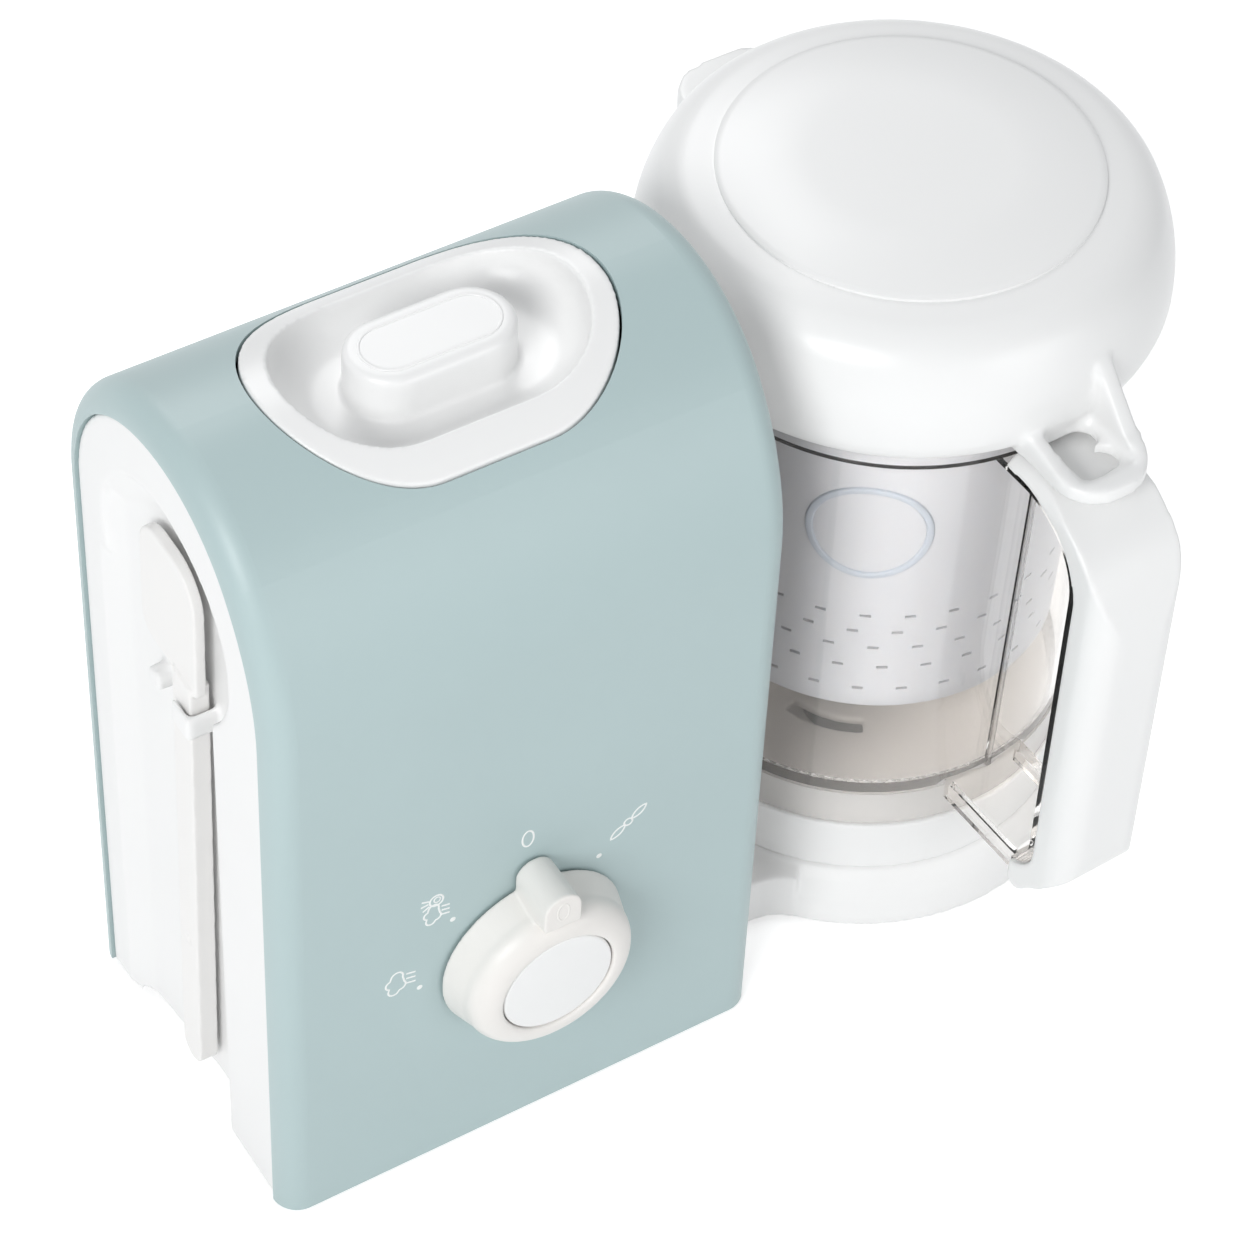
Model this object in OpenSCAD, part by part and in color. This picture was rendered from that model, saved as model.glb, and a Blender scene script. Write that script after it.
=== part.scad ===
// Baby food maker: a steam cooker and blender for small portions.
// The housing stands on the left and the lift-off bowl on the right, on a shared base.
// +X runs from the housing to the bowl, +Y to the back, +Z up; the feet stand at z = 0.

/* [Housing] */
// Width across the arched housing
body_w = 140; // [120:1:170]
// Depth of the housing from front to back
body_d = 103.2; // [98:0.1:115]
// Height of the arch's crown above the shell's lower edge
body_h = 235.8; // [225:0.1:260]
// Radius of the crown, where the arch is highest
crown_r = 45; // [38:1:48]
// Radius of the brow, where the front rolls over to the crown
brow_r = 75; // [65:1:90]
// Wall of the shell
shell_t = 2.6; // [2:0.1:4]
// Rounding of the shell's side edges, which is also the width of its side lip
edge_r = 7; // [5:0.5:10]
// Free height of the rubber feet
foot_h = 1.8; // [1:0.1:4]

/* [Water tank and cap] */
// Length of the cap from side to side
cap_l = 90.3; // [80:0.1:100]
// Width of the cap from front to back
cap_w = 63; // [55:0.5:68]
// Length of the grip in the cap's basin
grip_pill_l = 43; // [36:1:50]
// Width of that grip
grip_pill_w = 22; // [18:1:26]

/* [Control knob] */
// Radius of the knob at the front panel
knob_r = 25.7; // [22:0.1:30]
// How far the knob stands out of the panel
knob_out = 14.5; // [13:0.1:20]
// Height of the knob's axis above the shell's lower edge
knob_z = 68; // [60:1:80]
// Radius of the push button in the knob's middle
button_r = 15.5; // [12:0.1:18]

/* [Bowl and lid] */
// Distance of the bowl's axis from the housing's left side
bowl_x = 210.6; // [205:0.1:225]
// Distance of the bowl's axis behind the housing's front
bowl_y = 61.4; // [50:0.1:75]
// Outer radius of the bowl's wall under its rim
bowl_r = 59; // [56:0.5:62]
// Outer radius of the bowl's wall at its floor
bowl_foot_r = 56; // [52:0.5:58]
// Height of the bowl's lower edge on its seat
bowl_z = 34.5; // [30:0.5:40]
// Height of the bowl's rim
rim_z = 178; // [160:1:185]
// Largest radius of the lid
lid_r = 67.6; // [64:0.1:72]
// Height of the lid's top
lid_top = 218.9; // [205:0.1:230]
// Turn of the handle and the lid's tab to the right of straight ahead
handle_turn = 3; // [0:1:20]
// Reach of the handle from the bowl's axis
handle_reach = 104; // [95:1:110]
// Reach of the lid's rear hood from the bowl's axis
hood_reach = 81; // [74:1:86]

/* [Basket and blade] */
// Outer radius of the steam basket's wall
basket_r = 51; // [45:0.5:53]
// Height of the basket's floor
basket_z = 74; // [70:0.5:90]
// Reach of the blade's wings
blade_r = 43; // [35:0.5:48]

/* [Spatula] */
// Lean of the spatula on the side panel
spatula_lean = 2; // [0:0.5:4]
// Width of the spatula's handle
stick_w = 9.2; // [7:0.1:12]
// Depth of the side panel's recess
recess_deep = 6.5; // [4:0.5:9]

/* [Shown] */
// One piece, or all of them

/* [Hidden] */
$fn = 64;

teal = [0.70, 0.77, 0.77];
white = [0.95, 0.95, 0.94];
warm_white = [0.93, 0.91, 0.88];
clear = [0.85, 0.83, 0.80, 0.35];
frosted = [0.90, 0.93, 0.95, 0.7];
dark = [0.15, 0.15, 0.16];
steel = [0.75, 0.76, 0.77];
alloy = [0.68, 0.69, 0.70];
silicone = [0.88, 0.88, 0.87];
rubber = [0.25, 0.25, 0.26];

// The side profile: front leg, brow, crown, back shoulder and back leg, all tangent.
crown_y = body_d - 52.2;
crown_z = body_h - crown_r;
brow_z = crown_z - sqrt(pow(brow_r - crown_r, 2) - pow(brow_r - crown_y, 2));
brow_angle = acos((brow_r - crown_y) / (brow_r - crown_r));
back_r = body_d - crown_y;
back_z = body_h - back_r;

knob_x = body_w / 2;
cap_x = body_w / 2;
strap_out = 2.4;
stick_y = 44.6;
mid_x = (bowl_x + lid_r - strap_out) / 2;
mid_y = bowl_y + (hood_reach - handle_reach) / 2;

motor_x = 88;
motor_y = bowl_y;
steam_z = 197;
neck_front = 39.4;
neck_back = 34;
neck_from = body_w - 9;
neck_top = 16;
neck_fillet = 14;
base_top = 17;
base_r = 63.5;
drum_r = 57.5;
floor_z = bowl_z + 11.5;
grip_screw_y = 17 - handle_reach;
shaft_r = 4;
screw_spots = [[11, 15], [11, 88], [125, 15], [125, 88]];
foot_spots = [[18, 30], [18, 74], [120, 26], [120, 80], [238, 22], [238, 100]];

// ---------- shared shapes ----------

// Moves a piece from the drawing corner to the part's own origin.
module place() {
    translate([-mid_x, -mid_y, foot_h]) children();
}

// Turns a drawing about the bowl's axis so that its -Y side faces the handle.
module at_handle(turn = 0) {
    translate([bowl_x, bowl_y, 0]) rotate([0, 0, handle_turn + turn]) children();
}

// The point at a distance and an angle from another.
function around(c, angle, r) = [c[0] + r * cos(angle), c[1] + r * sin(angle)];

// A rectangle from the origin with round corners.
module round_rect(w, d, r) {
    translate([r, 0]) square([w - 2 * r, d]);
    translate([0, r]) square([w, d - 2 * r]);
    for (x = [r, w - r], y = [r, d - r]) {
        translate([x, y]) circle(r);
    }
}

// A stadium about the origin: length l along X, width w along Y.
module stadium(l, w) {
    square([l - w, w], center = true);
    for (s = [-1, 1]) {
        translate([s * (l - w) / 2, 0]) circle(d = w);
    }
}

// Sweeps a section over the arch: -x is the depth under the surface, y runs across.
module along_arch() {
    linear_extrude(brow_z) rotate(-90) children();
    arch_bend([brow_r, brow_z], brow_r, 180 - brow_angle, 180) children();
    arch_bend([crown_y, crown_z], crown_r, 90, 180 - brow_angle) children();
    arch_bend([crown_y, back_z], back_r, 0, 90) children();
    translate([0, body_d, 0]) linear_extrude(back_z) mirror([1, -1, 0]) children();
}

// One bend of that sweep: a ring about its centre, cut between two angles.
module arch_bend(centre, r, from, to) {
    intersection() {
        translate([0, centre[0], centre[1]]) rotate([90, 0, 90])
            rotate_extrude($fn = 128) translate([r, 0]) children();
        rotate([90, 0, 90]) translate([0, 0, -1]) linear_extrude(body_w + 2)
            polygon([centre, around(centre, from, 3 * r), around(centre, to, 3 * r)]);
    }
}

// The arch's side area as a flat (y, z) outline, pulled in all round by inset.
module arch_area(inset, foot = 0) {
    far = brow_r * 1.5;
    translate([inset, foot]) square([body_d - 2 * inset, brow_z - foot]);
    translate([crown_y, brow_z - 1]) square([back_r - inset, back_z - brow_z + 1]);
    intersection() {
        translate([brow_r, brow_z]) circle(brow_r - inset, $fn = 128);
        translate([brow_r, brow_z]) polygon([[0, 0], [-far, 0],
            [-far * cos(brow_angle), far * sin(brow_angle)]]);
    }
    translate([crown_y, crown_z]) circle(crown_r - inset, $fn = 128);
    intersection() {
        translate([crown_y, back_z]) circle(back_r - inset, $fn = 128);
        translate([crown_y, back_z]) square(back_r);
    }
}

// A slab of that outline between two distances from the left side.
module arch_slab(x0, x1, inset, foot = 0) {
    translate([x0, 0, 0]) rotate([90, 0, 90]) linear_extrude(x1 - x0) arch_area(inset, foot);
}

// ---------- housing ----------

// One moulded shell: front, arch and back in one sweep, with a lip round each side.
module shell_section() {
    difference() {
        intersection() {
            translate([-3 * edge_r, 0]) round_rect(3 * edge_r, body_w, edge_r);
            translate([-edge_r, 0]) square([edge_r, body_w]);
        }
        translate([-3 * edge_r, shell_t])
            round_rect(3 * edge_r - shell_t, body_w - 2 * shell_t, edge_r - shell_t);
    }
}

module shell() {
    color(teal) place() difference() {
        along_arch() shell_section();
        translate([cap_x, crown_y, 205]) linear_extrude(40) stadium(cap_l + 1.2, cap_w + 1.2);
        translate([knob_x, -1, knob_z]) rotate([-90, 0, 0]) cylinder(r = 6.6, h = 6);
        translate([24, body_d - 5, 12]) cube([26, 8, 16]);
        neck_space();
    }
}

// The room that the base's neck takes in the shell and in the right panel.
module neck_space() {
    translate([body_w - 10, bowl_y - neck_front - 0.3, -1])
        cube([20, neck_front + neck_back + 0.6, neck_top + 1.3]);
}

// The recess is deepest beside the spatula's stick and rises gently towards the back.
module recess(grow = 0, deep = recess_deep) {
    intersection() {
        translate([-5, 0, 0]) rotate([90, 0, 90]) linear_extrude(5 + deep) {
            translate([53, 181]) circle(31 + grow, $fn = 96);
            translate([31 - grow, -1]) square([57 + 2 * grow, 171]);
        }
        translate([0, 0, -2]) linear_extrude(220) polygon([[-6, 10], [-6, 100],
            [0, 88 + grow], [deep - 2.6, 77 + grow], [deep, 48 + grow], [deep, 10]]);
        translate([0, 53, 181]) rotate([45, 0, 0]) linear_extrude(400, center = true)
            polygon([[-6, -250], [-6, 47 + grow], [0, 33 + grow], [deep, 17.6 + grow],
                [deep, -250]]);
    }
}

module panel_left() {
    color(white) place() difference() {
        union() {
            arch_slab(0.6, shell_t + 0.1, edge_r + 0.3, 1);
            arch_slab(shell_t + 0.1, shell_t + 2, edge_r - 0.6, 3.2);
            intersection() {
                recess(2, recess_deep + 2);
                arch_slab(shell_t, recess_deep + 2, edge_r - 0.6, 3.2);
            }
            strap();
            peg();
        }
        difference() {
            recess();
            strap();
            peg();
        }
    }
}

// The hook over the spatula's stick, open towards the back.
module strap() {
    difference() {
        translate([-strap_out, 37.4, 147.5]) cube([recess_deep + strap_out + 1, 8.6, 7.5]);
        translate([-0.9, 39.2, 146]) cube([recess_deep + 0.9, 20, 12]);
    }
}

// The peg behind the stick, with a slit that lets it spring.
module peg() {
    difference() {
        translate([0.4, 60.5, 146.4]) rotate([0, 90, 0]) cylinder(r = 3.2, h = recess_deep + 1);
        translate([0.2, 60, 142]) cube([3, 1, 9]);
    }
}

module panel_right() {
    color(white) place() difference() {
        union() {
            arch_slab(body_w - shell_t - 0.1, body_w - 0.6, edge_r + 0.3, 1);
            arch_slab(body_w - shell_t - 2, body_w - shell_t - 0.1, edge_r - 0.6, 3.2);
        }
        neck_space();
        translate([body_w - 10, bowl_y, steam_z]) rotate([0, 90, 0]) cylinder(r = 9, h = 20);
    }
}

// The frame inside: four posts, a motor shelf and a boiler shelf.
module inner_frame() {
    color(white) place() difference() {
        union() {
            for (p = screw_spots) {
                translate([p[0] - 3.5, p[1] - 3.5, 3]) cube([7, 7, 172]);
            }
            for (z = [15.5, 96]) {
                translate([9, shell_t + 0.2, z]) cube([121, body_d - 2 * shell_t - 0.4, 3]);
            }
        }
        translate([motor_x, motor_y, 14]) cylinder(r = 11, h = 6);
        translate([50, 40, 95]) cylinder(r = 10, h = 5);
        translate([22, body_d - 20, 10]) cube([30, 20, 20]);
        for (p = screw_spots) {
            translate([p[0], p[1], 2]) cylinder(r = 1.4, h = 14);
        }
    }
}

// ---------- base ----------

// The base's round part flares a little towards the table.
module base_outline(inset, from = 0) {
    polygon([[0, from], [base_r - inset, from], [base_r - inset, 3], [base_r - 1 - inset, 9],
        [base_r - 3.4 - inset, 14 - inset], [drum_r - inset, base_top - inset],
        [0, base_top - inset]]);
}

// The neck's plan, with a round fillet where it meets the base's round part.
module neck_plan() {
    translate([neck_from, bowl_y - neck_front]) square([34, neck_front + neck_back]);
    translate([bowl_x, bowl_y]) neck_corner(neck_back);
    translate([bowl_x, bowl_y]) mirror([0, 1]) neck_corner(neck_front);
}

module neck_corner(half) {
    reach = base_r + neck_fillet;
    side = half + neck_fillet;
    along = sqrt(pow(reach, 2) - pow(side, 2));
    touch = base_r / reach;
    difference() {
        polygon([[-along, half - 5], [-along, half], [-along * touch, side * touch],
            [-along * touch + 8, half - 5]]);
        translate([-along, side]) circle(neck_fillet);
    }
}

module base_cover() {
    color(white) place() difference() {
        union() {
            translate([bowl_x, bowl_y, 0]) rotate_extrude($fn = 128) base_outline(0);
            linear_extrude(neck_top) neck_plan();
        }
        translate([bowl_x, bowl_y, 0]) rotate_extrude($fn = 128) base_outline(2.6, -1);
        translate([neck_from - 1, bowl_y - neck_front + 2.6, -1])
            cube([50, neck_front + neck_back - 5.2, neck_top - 1.6]);
        translate([bowl_x, bowl_y, 10]) cylinder(r = 9, h = 10);
    }
}

module base_plate() {
    color(white) place() difference() {
        union() {
            translate([8, shell_t + 0.2, 0.4]) cube([122.6, body_d - 2 * shell_t - 0.4, 2.4]);
            translate([125, bowl_y - neck_front + 2.9, 0.4])
                cube([50, neck_front + neck_back - 5.8, 2.4]);
            translate([bowl_x, bowl_y, 0.4]) cylinder(r = base_r - 2.9, h = 2.4, $fn = 128);
        }
        for (p = screw_spots) {
            translate([p[0], p[1], 0]) cylinder(r = 1.7, h = 4);
        }
        translate([bowl_x, bowl_y, 0]) cylinder(r = shaft_r + 0.06, h = 4);
    }
}

module base_screws() {
    color(steel) place() for (p = screw_spots) {
        translate([p[0], p[1], -0.9]) cylinder(r = 3, h = 1.3);
        translate([p[0], p[1], 0.3]) cylinder(r = 1.4, h = 14);
    }
}

module feet() {
    color(rubber) place() for (p = foot_spots) {
        translate([p[0], p[1], -foot_h]) cylinder(r = 6, h = foot_h + 0.4);
    }
}

// The white drum that the bowl stands on.
module seat_ring() {
    wall = 2.6;
    top = bowl_z - 0.3;
    color(white) place() translate([bowl_x, bowl_y, 0]) rotate_extrude($fn = 128) difference() {
        translate([50, base_top]) square([drum_r - 50, top - base_top]);
        translate([49, base_top - 1]) square([drum_r - wall - 49, top - wall - base_top + 1]);
    }
}

// The raised plate on the drum, with the coupling's hole and three slots.
module seat_plate() {
    wall = 2.6;
    low = bowl_z - 0.3;
    top = bowl_z + 5.5;
    color(white) place() translate([bowl_x, bowl_y, 0]) difference() {
        rotate_extrude($fn = 128) difference() {
            translate([18.9, low]) square([33.9, top - low]);
            translate([18, low - 1]) square([52.8 - wall - 18, top - wall - low + 1]);
        }
        for (turn = [195, 315, 75]) {
            rotate(turn) translate([0, 0, top - 4]) linear_extrude(8) arc_slot(27, 45);
        }
    }
}

// A slot along an arc about the origin, from the X axis round by an angle.
module arc_slot(r, angle) {
    half = 2.2;
    intersection() {
        difference() {
            circle(r + half, $fn = 96);
            circle(r - half, $fn = 96);
        }
        polygon([[0, 0], [2 * r, 0], [2 * r * cos(angle / 2), 2 * r * sin(angle / 2)],
            [2 * r * cos(angle), 2 * r * sin(angle)]]);
    }
}

// The sensor under the seat feels the magnet under the bowl's floor.
module bowl_sensor() {
    color(dark) place() at_handle(180) translate([-8, -48, base_top]) {
        cube([16, 8, 16]);
        translate([6, 3, 16]) cube([4, 2, 3]);
    }
}

// ---------- water and steam ----------

module tank() {
    color(frosted) place() difference() {
        union() {
            translate([cap_x, crown_y, 119]) linear_extrude(92) stadium(84, 57);
            translate([110, bowl_y, steam_z]) rotate([0, 90, 0]) cylinder(r = 4.5, h = 9);
        }
        translate([cap_x, crown_y, 121.4]) linear_extrude(100) stadium(79.2, 52.2);
        translate([105, bowl_y, steam_z]) rotate([0, 90, 0]) cylinder(r = 3, h = 20);
    }
}

module boiler() {
    color(alloy) place() {
        translate([cap_x, crown_y, 103]) linear_extrude(16) stadium(78, 50);
        for (x = [40, 100]) {
            translate([x, crown_y, 99]) cylinder(r = 4, h = 4);
        }
    }
}

module thermostat() {
    color(steel) place() {
        translate([50, 40, 100]) cylinder(r = 9, h = 3);
        translate([50, 40, 94]) cylinder(r = 6, h = 6);
    }
}

module steam_tube() {
    color(silicone) place() translate([113, bowl_y, steam_z]) rotate([0, 90, 0])
        difference() {
            cylinder(r = 6.5, h = body_w - 113 - 2);
            translate([0, 0, -1]) cylinder(r = 4.5, h = 40);
        }
}

module steam_nozzle() {
    color(silicone) place() translate([body_w - 2, bowl_y, steam_z]) rotate([0, 90, 0])
        difference() {
            union() {
                cylinder(r = 9, h = 3);
                translate([0, 0, 2]) cylinder(r = 11, h = 2.2);
            }
            translate([0, 0, -1]) cylinder(r = 5, h = 10);
        }
}

// The cap follows the arch, with a dished basin round a raised grip.
module cap_dish(l, w, deep, r) {
    for (s = [-1, 1]) {
        translate([s * (l - w) / 2, 0, 0]) rotate(s > 0 ? -90 : 90)
            rotate_extrude(angle = 180) dish_half(w / 2, deep, r);
    }
    rotate([90, 0, 90]) translate([0, 0, -(l - w) / 2]) linear_extrude(l - w) {
        dish_half(w / 2, deep, r);
        mirror([1, 0]) dish_half(w / 2, deep, r);
    }
}

module dish_half(half, deep, r) {
    translate([0, r - deep]) square([half, 30]);
    translate([0, -deep]) square([half - r, 30]);
    intersection() {
        translate([half - r, r - deep]) circle(r);
        translate([0, -deep]) square([half, r]);
    }
}

module cap_grip() {
    translate([0, 0, -14]) linear_extrude(12) stadium(grip_pill_l, grip_pill_w);
    for (s = [-1, 1]) {
        translate([s * (grip_pill_l - grip_pill_w) / 2, 0, -2.01]) rotate(s > 0 ? -90 : 90)
            rotate_extrude(angle = 180) pill_edge();
    }
    rotate([90, 0, 90]) translate([0, -2.01, -(grip_pill_l - grip_pill_w) / 2])
        linear_extrude(grip_pill_l - grip_pill_w) {
            pill_edge();
            mirror([1, 0]) pill_edge();
        }
}

module pill_edge() {
    square([grip_pill_w / 2 - 2, 2]);
    intersection() {
        translate([grip_pill_w / 2 - 2, 0]) circle(2);
        square([grip_pill_w / 2, 2]);
    }
}

module tank_cap() {
    color(white) place() {
        difference() {
            intersection() {
                arch_slab(10, body_w - 10, 0);
                translate([cap_x, crown_y, 212.5]) linear_extrude(30) stadium(cap_l, cap_w);
            }
            translate([cap_x, crown_y, body_h]) cap_dish(cap_l - 13, cap_w - 13, 13, 11);
            translate([cap_x, crown_y, 200]) linear_extrude(19.6) stadium(73, 46);
        }
        translate([cap_x, crown_y, body_h - 0.3]) cap_grip();
        translate([cap_x, crown_y, 205]) linear_extrude(8) difference() {
            stadium(75.4, 48.4);
            stadium(71, 44);
        }
    }
}

module cap_seal() {
    color(silicone) place() translate([cap_x, crown_y, 206]) linear_extrude(3) difference() {
        stadium(78.4, 51.4);
        stadium(75.4, 48.4);
    }
}

// ---------- control knob ----------

// The knob's drawing stands on the panel: z is the distance out of the panel.
module at_knob() {
    translate([knob_x, 0, knob_z]) rotate([90, 0, 0]) children();
}

module knob() {
    face_r = knob_r - 8.7;
    color(warm_white) place() at_knob() difference() {
        union() {
            rotate_extrude($fn = 128) {
                polygon([[0, 0.6], [knob_r, 0.6], [face_r + 6.5, knob_out - 6.5],
                    [0, knob_out - 6.5]]);
                translate([face_r, knob_out - 6.5]) intersection() {
                    circle(6.5);
                    translate([-1, -0.1]) square([8, 7]);
                }
                polygon([[0, knob_out - 7], [face_r, knob_out - 7], [face_r, knob_out],
                    [button_r + 0.4, knob_out - 0.3], [0, knob_out - 0.3]]);
            }
            translate([0, knob_r + 3.3, 0.6]) cylinder(r = 5.2, h = knob_out - 0.1);
            translate([-5.2, knob_r - 2.7, 0.6]) cube([10.4, 6, knob_out - 0.1]);
        }
        translate([0, 0, 7]) cylinder(r = button_r + 0.3, h = 20);
        translate([0, 0, 5.5]) cylinder(r = 3.4, h = 5);
        translate([0, 0, -1]) cylinder(r = 3, h = 9);
    }
}

module knob_shaft() {
    color(steel) place() at_knob() translate([0, 0, -14]) cylinder(r = 3, h = 20.5);
}

module button() {
    color(white) place() at_knob() {
        translate([0, 0, knob_out - 2.7]) cylinder(r = button_r, h = 2.2, $fn = 128);
        translate([0, 0, 9.4]) cylinder(r = 2.8, h = 3);
    }
}

// A short coil between the knob's floor and the button, drawn as its three turns.
module button_spring() {
    color(steel) place() at_knob() translate([0, 0, 7.5]) for (turn = [0:2]) {
        translate([0, 0, turn * 0.95]) rotate_extrude() translate([9, 0]) circle(0.5, $fn = 16);
    }
}

module switch_body() {
    color(dark) place() difference() {
        union() {
            translate([knob_x - 19, 5, knob_z - 19]) cube([38, 19, 38]);
            at_knob() translate([0, 0, -6]) cylinder(r = 6, h = 5.8);
        }
        at_knob() translate([0, 0, -16]) cylinder(r = 3.08, h = 20);
    }
}

module circuit_board() {
    color([0.10, 0.35, 0.20]) place() {
        translate([16, 20, 24]) cube([1.6, 64, 66]);
        translate([17.6, 30, 34]) cube([14, 16, 20]);
        translate([17.6, 60, 30]) cube([10, 14, 14]);
        for (z = [62, 76]) {
            translate([17.6, 50, z]) rotate([0, 90, 0]) cylinder(r = 5, h = 12);
        }
    }
}

module power_inlet() {
    color(dark) place() difference() {
        translate([24.3, body_d - 18, 12.3]) cube([25.4, 18.3, 15.4]);
        translate([27, body_d - 10, 15]) cube([20, 12, 10]);
    }
}

// ---------- drive ----------

module motor() {
    color(alloy) place() translate([motor_x, motor_y, 0]) {
        translate([0, 0, 18.5]) cylinder(r = 29, h = 66);
        translate([0, 0, 84]) cylinder(r = 11, h = 9);
        difference() {
            translate([0, 0, 15.4]) cylinder(r = 10.6, h = 4);
            translate([0, 0, 14]) cylinder(r = 2.6, h = 10);
        }
    }
}

module motor_pulley() {
    color(steel) place() translate([motor_x, motor_y, 0]) {
        translate([0, 0, 4.4]) cylinder(r = 11, h = 1);
        translate([0, 0, 5.2]) cylinder(r = 9, h = 8);
        translate([0, 0, 13]) cylinder(r = 2.5, h = 5.2);
    }
}

// The flat belt that joins the two pulleys through the neck.
module belt() {
    color(rubber) place() translate([0, 0, 5.8]) linear_extrude(6.6) difference() {
        hull() {
            translate([motor_x, motor_y]) circle(r = 11, $fn = 40);
            translate([bowl_x, bowl_y]) circle(r = 29, $fn = 72);
        }
        hull() {
            translate([motor_x, motor_y]) circle(r = 9.4, $fn = 40);
            translate([bowl_x, bowl_y]) circle(r = 27.4, $fn = 72);
        }
    }
}

module drive_pulley() {
    color(dark) place() translate([bowl_x, bowl_y, 0]) difference() {
        union() {
            translate([0, 0, 4.4]) cylinder(r = 29, h = 1, $fn = 96);
            translate([0, 0, 5.2]) cylinder(r = 27, h = 8, $fn = 96);
        }
        translate([0, 0, 7]) difference() {
            cylinder(r = 24, h = 8);
            cylinder(r = 8, h = 8);
        }
        translate([0, 0, 3]) cylinder(r = shaft_r, h = 12);
    }
}

module drive_shaft() {
    color(steel) place() translate([bowl_x, bowl_y, 0.6]) cylinder(r = shaft_r, h = 20.9);
}

module drive_bearing() {
    color([0.72, 0.60, 0.40]) place() translate([bowl_x, bowl_y, 13.8]) difference() {
        union() {
            cylinder(r = 9, h = 3.2);
            translate([0, 0, 3.2]) cylinder(r = 12, h = 1.8);
        }
        translate([0, 0, -1]) cylinder(r = shaft_r + 0.06, h = 10);
    }
}

// The driving half of the coupling, with a hexagonal socket.
module drive_coupling() {
    color(dark) place() translate([bowl_x, bowl_y, 0]) difference() {
        translate([0, 0, 19.6]) cylinder(r = 14, h = 13);
        translate([0, 0, 22.4]) cylinder(r = 10, h = 12, $fn = 6);
        translate([0, 0, 18]) cylinder(r = shaft_r, h = 3.5);
    }
}

// ---------- bowl ----------

// The flat outline of the bowl's bracket in the handle's plane: x out, y up.
module bracket_loop(grow) {
    back = handle_reach - 14.5;
    low = bowl_z + 14;
    bend = 21.5;
    top = rim_z - 7.7;
    translate([40, low - grow]) square([back - 8 - 40, 60]);
    translate([40, low + 8]) square([back - 40 + grow, top - bend - low - 8]);
    translate([back - 8, low + 8]) circle(8 + grow, $fn = 48);
    translate([40, top - bend - 1]) square([back - bend - 40, bend + grow + 1]);
    translate([back - bend, top - bend]) circle(bend + grow, $fn = 96);
}

// The bracket: a clear strap with two webs under its lower arm and a rib up the wall.
module bracket() {
    difference() {
        union() {
            translate([12.5, 0, 0]) rotate([90, 0, -90]) linear_extrude(25) difference() {
                bracket_loop(2.6);
                bracket_loop(0);
            }
            for (side = [-12.5, 10.3]) {
                translate([side, 20.3 - handle_reach, bowl_z + 7])
                    cube([2.2, handle_reach - 72, 5]);
            }
            translate([0.7, 0, 0]) rotate([90, 0, -90]) linear_extrude(1.4)
                polygon([[50, bowl_z + 13], [bowl_foot_r + 1.3, bowl_z + 13],
                    [bowl_r + 1.2, rim_z - 7.5], [50, rim_z - 7.5]]);
        }
        cylinder(r1 = bowl_foot_r - 3.3, r2 = bowl_r - 1.2, h = rim_z);
    }
}

module bowl() {
    color(clear) place() difference() {
        union() {
            translate([bowl_x, bowl_y, 0]) rotate_extrude($fn = 128) {
                difference() {
                    union() {
                        polygon([[0, floor_z - 1], [bowl_foot_r, floor_z - 1],
                            [bowl_r, rim_z - 5], [bowl_r, rim_z], [0, rim_z]]);
                        translate([bowl_r - 3, rim_z - 5]) square([5, 5]);
                    }
                    polygon([[13, floor_z + 2], [bowl_foot_r - 3.4, floor_z + 2],
                        [bowl_foot_r - 2.2, floor_z + 4], [bowl_r - 2.2, rim_z - 5],
                        [bowl_r - 2.2, rim_z + 1], [0, rim_z + 1], [0, floor_z + 9],
                        [9, floor_z + 9]]);
                }
                translate([bowl_foot_r - 2.2, bowl_z])
                    square([2.6, floor_z - bowl_z]);
                translate([12, floor_z - 5]) square([3, 5]);
            }
            at_handle() bracket();
            at_handle() spout(0);
            for (turn = [30, 150, 270]) {
                at_handle(turn) translate([-4, -bowl_r + 0.5, rim_z - 9.5]) cube([8, 5, 3.2]);
            }
            at_handle(180) translate([0, -44, floor_z - 4.8]) cylinder(r = 3.4, h = 4);
        }
        at_handle(180) translate([0, -44, floor_z - 6]) cylinder(r = 2.5, h = 4.4);
        at_handle() spout(1);
        at_handle() translate([0, grip_screw_y, bowl_z + 10]) cylinder(r = 1.3, h = 4.9);
        translate([bowl_x, bowl_y, floor_z - 6]) cylinder(r = shaft_r + 0.06, h = 20);
        translate([bowl_x, bowl_y, floor_z + 5]) cylinder(r = 6.5, h = 6);
    }
}

// The pouring spout opposite the handle: a small open trough under the rim.
module spout(inner) {
    w = inner == 1 ? 16 : 20.4;
    reach = inner == 1 ? bowl_r + 10.5 : bowl_r + 12.7;
    low = inner == 1 ? rim_z - 9.8 : rim_z - 12;
    top = inner == 1 ? rim_z + 1 : rim_z;
    start = inner == 1 ? bowl_r - 5 : bowl_r - 1;
    rotate([90, 0, 0]) rotate([0, 90, 0]) translate([0, 0, -w / 2]) linear_extrude(w)
        polygon([[start, low], [reach, top - (inner == 1 ? 1 : 2)], [reach, top], [start, top]]);
}

// The grip's side outline: a round shoulder on top and a slanting foot.
module grip_side() {
    heel = [handle_reach - 17, bowl_z + 6.5];
    chin = [handle_reach - 8, bowl_z + 22.57];
    difference() {
        union() {
            translate(heel) circle(3);
            translate(chin) circle(8, $fn = 96);
            polygon([[heel[0] - 3, heel[1]], heel, around(heel, -45, 2.98),
                around(chin, -45, 7.98), chin, [heel[0] - 3, chin[1]]]);
            translate([heel[0] - 3, chin[1]]) square([20, rim_z - 35.5 - chin[1]]);
            translate([handle_reach - 34, rim_z - 35.5]) circle(34, $fn = 96);
            translate([50, rim_z - 35.5]) square([handle_reach - 84, 34]);
        }
        bracket_loop(2.7);
        square([bowl_r + 3.2, 300]);
    }
}

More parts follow.
